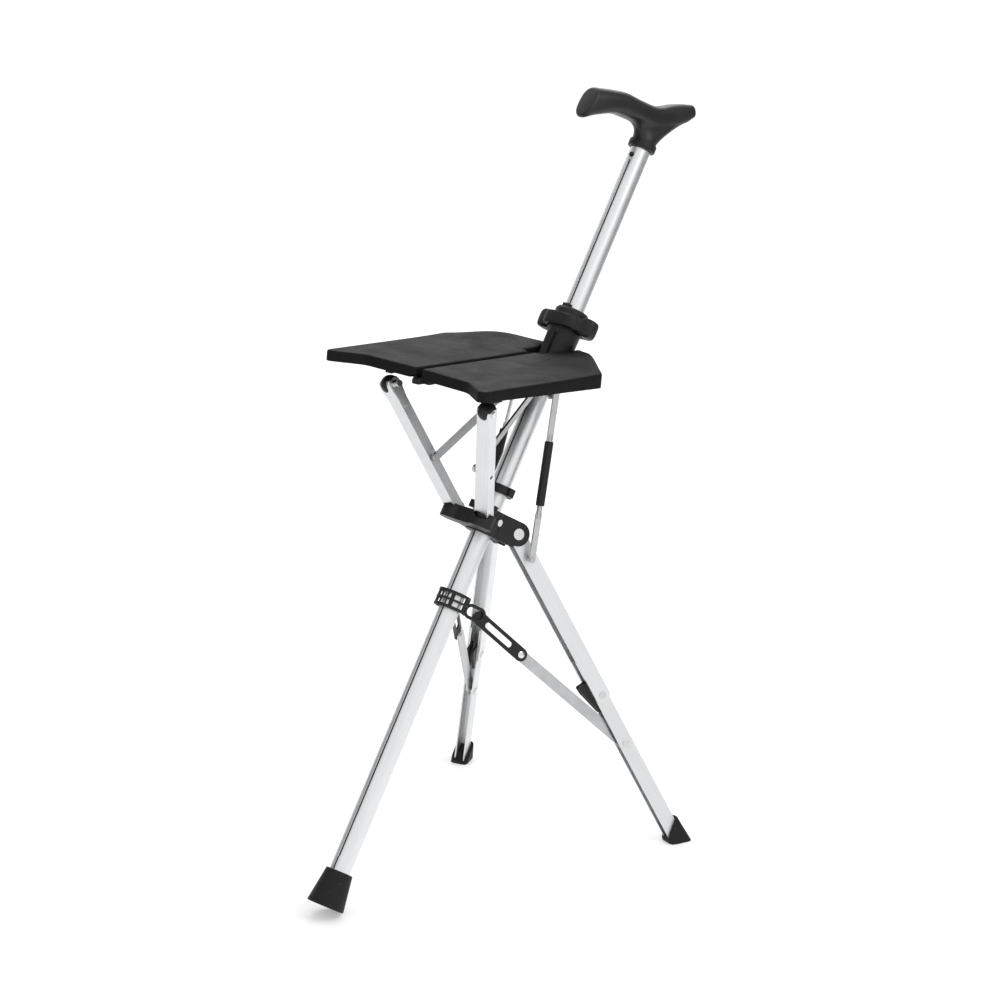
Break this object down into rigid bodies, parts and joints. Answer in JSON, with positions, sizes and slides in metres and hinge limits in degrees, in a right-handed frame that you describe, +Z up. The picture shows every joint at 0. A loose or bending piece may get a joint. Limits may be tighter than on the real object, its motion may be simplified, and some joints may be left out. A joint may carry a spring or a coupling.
{
  "type": "walking stick seat",
  "caption": "Walking stick with a collar that slides down to spread a folding two-piece seat, two seat struts and two rear legs into a tripod.",
  "frame": {"origin": "floor level under the middle of the opened object's bounding box", "axes": "+Z up, +X to the seat's front, the stick leans to -X at its top, +Y to the side of the near leg"},
  "size_m": [0.5262, 0.309, 0.709],
  "materials": {
    "black_grip": "satin moulded",
    "black_nylon": "satin moulded",
    "black_rubber": "matt",
    "bright_steel": "bright",
    "ring_plastic": "gloss",
    "satin_channel": "satin",
    "satin_tube": "satin anodised",
    "seat_black": "fine textured",
    "zinc_steel": "zinc plated"
  },
  "bodies": {
    "stick": {"main_tube": "satin_tube", "ferrule": "black_rubber", "ferrule_washer": "zinc_steel", "handle_grip": "black_grip", "handle_ring": "ring_plastic", "handle_stem": "zinc_steel", "snap_spring": "zinc_steel", "hub": "black_nylon", "hub_pin": "bright_steel", "leg_pins": "bright_steel", "stop_ring": "black_nylon", "tie_ring": "black_nylon", "tie_pins": "bright_steel"},
    "button": {"snap_button": "zinc_steel"},
    "collar": {"collar_body": "black_nylon", "seat_pin": "bright_steel"},
    "release": {"release_wings": "black_nylon", "release_spring": "zinc_steel"},
    "shoe": {"brake_shoe": "black_nylon"},
    "spine": {"seat_spine": "black_nylon", "hinge_pins": "bright_steel"},
    "runner": {"stay_runner": "black_nylon"},
    "band": {"strap_band": "black_nylon"},
    "half_near": {"seat_near": "seat_black", "strut_block_near": "black_nylon"},
    "strut_near": {"strut_near": "satin_channel", "strut_ends_near": "black_nylon", "strut_pins_near": "bright_steel"},
    "stay_near": {"stay_near": "zinc_steel"},
    "leg_near": {"leg_upper_near": "satin_channel", "leg_lower_near": "satin_channel", "leg_rivets_near": "bright_steel", "leg_cheeks_near": "black_nylon", "foot_cap_near": "black_rubber", "bar_pin_near": "bright_steel"},
    "bar_near": {"bar_near": "zinc_steel"},
    "arm_near": {"strap_arm_near": "black_nylon"},
    "tie_near": {"tie_upper_near": "zinc_steel", "tie_sleeve_near": "black_nylon"},
    "tie_rod_near": {"tie_lower_near": "zinc_steel"},
    "half_far": {"seat_far": "seat_black", "strut_block_far": "black_nylon"},
    "strut_far": {"strut_far": "satin_channel", "strut_ends_far": "black_nylon", "strut_pins_far": "bright_steel"},
    "stay_far": {"stay_far": "zinc_steel"},
    "leg_far": {"leg_upper_far": "satin_channel", "leg_lower_far": "satin_channel", "leg_rivets_far": "bright_steel", "leg_cheeks_far": "black_nylon", "foot_cap_far": "black_rubber", "bar_pin_far": "bright_steel"},
    "bar_far": {"bar_far": "zinc_steel"},
    "arm_far": {"strap_arm_far": "black_nylon"},
    "tie_far": {"tie_upper_far": "zinc_steel", "tie_sleeve_far": "black_nylon"},
    "tie_rod_far": {"tie_lower_far": "zinc_steel"}
  },
  "joints": [
    {"name": "collar_slide", "type": "slide", "parent": "stick", "child": "collar", "axis": [-0.5736, 0, 0.8192], "range_m": [0, 0.10923]},
    {"name": "release_press", "type": "slide", "parent": "collar", "child": "release", "axis": [-0.5736, 0, 0.8192], "range_m": [0, 0.003], "stiffness_N_per_m": 900},
    {"name": "shoe_slide", "type": "slide", "parent": "collar", "child": "shoe", "axis": [0.8192, 0, 0.5736], "range_m": [0, 0.0008]},
    {"name": "button_press", "type": "slide", "parent": "stick", "child": "button", "axis": [-0.8192, 0, -0.5736], "range_m": [0, 0.0022], "stiffness_N_per_m": 600},
    {"name": "seat_tilt", "type": "hinge", "parent": "collar", "child": "spine", "pos_m": [-0.05179, 0, 0.46708], "axis": [0, 1, 0], "range_deg": [0, 62.45]},
    {"name": "seat_fold_near", "type": "hinge", "parent": "spine", "child": "half_near", "pos_m": [0.01661, 0.0072, 0.48275], "axis": [0.9916, 0, 0.1297], "range_deg": [0, 84]},
    {"name": "seat_fold_far", "type": "hinge", "parent": "spine", "child": "half_far", "pos_m": [0.01661, -0.0072, 0.48275], "axis": [-0.9916, 0, -0.1297], "range_deg": [0, 84]},
    {"name": "strut_swing_near", "type": "hinge", "parent": "stick", "child": "strut_near", "pos_m": [0.04842, 0.018, 0.34315], "axis": [0.1596, -0.2585, 0.9527], "range_deg": [0, 63.81]},
    {"name": "strut_swing_far", "type": "hinge", "parent": "stick", "child": "strut_far", "pos_m": [0.04842, -0.018, 0.34315], "axis": [-0.1596, -0.2585, -0.9527], "range_deg": [0, 63.81]},
    {"name": "runner_slide", "type": "slide", "parent": "stick", "child": "runner", "axis": [-0.5736, 0, 0.8192], "range_m": [0, 0.02264]},
    {"name": "stay_swing_near", "type": "hinge", "parent": "runner", "child": "stay_near", "pos_m": [-0.04671, 0.0115, 0.45721], "axis": [-0.2127, 0.9581, -0.192], "range_deg": [0, 7.67]},
    {"name": "stay_swing_far", "type": "hinge", "parent": "runner", "child": "stay_far", "pos_m": [-0.04671, -0.0115, 0.45721], "axis": [0.2127, 0.9581, 0.192], "range_deg": [0, 7.67]},
    {"name": "leg_fold_near", "type": "hinge", "parent": "stick", "child": "leg_near", "pos_m": [0.00211, 0.01405, 0.31267], "axis": [-0.3629, -0.8965, -0.2541], "range_deg": [0, 55]},
    {"name": "leg_fold_far", "type": "hinge", "parent": "stick", "child": "leg_far", "pos_m": [0.00211, -0.01405, 0.31267], "axis": [0.3629, -0.8965, 0.2541], "range_deg": [0, 55]},
    {"name": "bar_swing_near", "type": "hinge", "parent": "leg_near", "child": "bar_near", "pos_m": [-0.06153, 0.0999, 0.10068], "axis": [-0.3629, -0.8965, -0.2541], "range_deg": [0, 20.64]},
    {"name": "bar_swing_far", "type": "hinge", "parent": "leg_far", "child": "bar_far", "pos_m": [-0.06153, -0.0999, 0.10068], "axis": [0.3629, -0.8965, 0.2541], "range_deg": [0, 20.64]},
    {"name": "band_slide", "type": "slide", "parent": "stick", "child": "band", "axis": [-0.5736, 0, 0.8192], "range_m": [0, 0.05014]},
    {"name": "arm_swing_near", "type": "hinge", "parent": "band", "child": "arm_near", "pos_m": [0.0523, 0.01374, 0.24209], "axis": [-0.3629, -0.8965, -0.2541], "range_deg": [0, 75.4]},
    {"name": "arm_swing_far", "type": "hinge", "parent": "band", "child": "arm_far", "pos_m": [0.0523, -0.01374, 0.24209], "axis": [0.3629, -0.8965, 0.2541], "range_deg": [0, 75.4]},
    {"name": "tie_swing_near", "type": "hinge", "parent": "stick", "child": "tie_near", "pos_m": [-0.04629, 0.025, 0.44529], "axis": [-0.3783, -0.9085, -0.1776], "range_deg": [0, 8.73]},
    {"name": "tie_swing_far", "type": "hinge", "parent": "stick", "child": "tie_far", "pos_m": [-0.04629, -0.025, 0.44529], "axis": [0.3783, -0.9085, 0.1776], "range_deg": [0, 8.73]},
    {"name": "tie_slide_near", "type": "slide", "parent": "tie_near", "child": "tie_rod_near", "axis": [0.2896, 0.0661, -0.9549], "range_m": [0, 0.00504]},
    {"name": "tie_slide_far", "type": "slide", "parent": "tie_far", "child": "tie_rod_far", "axis": [0.2896, -0.0661, -0.9549], "range_m": [0, 0.00504]}
  ],
  "couplings": [
    {"joint": "shoe_slide", "follows": "release_press", "ratio": 0.26664},
    {"joint": "seat_tilt", "follows": "collar_slide", "rad_per_m": 9.9785},
    {"joint": "seat_fold_near", "follows": "collar_slide", "rad_per_m": 13.422},
    {"joint": "seat_fold_far", "follows": "collar_slide", "rad_per_m": 13.422},
    {"joint": "strut_swing_near", "follows": "collar_slide", "rad_per_m": 10.195},
    {"joint": "strut_swing_far", "follows": "collar_slide", "rad_per_m": 10.195},
    {"joint": "runner_slide", "follows": "collar_slide", "ratio": 0.20728},
    {"joint": "stay_swing_near", "follows": "collar_slide", "rad_per_m": 1.2256},
    {"joint": "stay_swing_far", "follows": "collar_slide", "rad_per_m": 1.2256},
    {"joint": "leg_fold_near", "follows": "collar_slide", "rad_per_m": 8.7881},
    {"joint": "leg_fold_far", "follows": "collar_slide", "rad_per_m": 8.7881},
    {"joint": "bar_swing_near", "follows": "collar_slide", "rad_per_m": 3.2977},
    {"joint": "bar_swing_far", "follows": "collar_slide", "rad_per_m": 3.2977},
    {"joint": "band_slide", "follows": "collar_slide", "ratio": 0.45904},
    {"joint": "arm_swing_near", "follows": "collar_slide", "rad_per_m": 12.048},
    {"joint": "arm_swing_far", "follows": "collar_slide", "rad_per_m": 12.048},
    {"joint": "tie_swing_near", "follows": "collar_slide", "rad_per_m": 1.3956},
    {"joint": "tie_swing_far", "follows": "collar_slide", "rad_per_m": 1.3956},
    {"joint": "tie_slide_near", "follows": "collar_slide", "ratio": 0.046182},
    {"joint": "tie_slide_far", "follows": "collar_slide", "ratio": 0.046182}
  ]
}
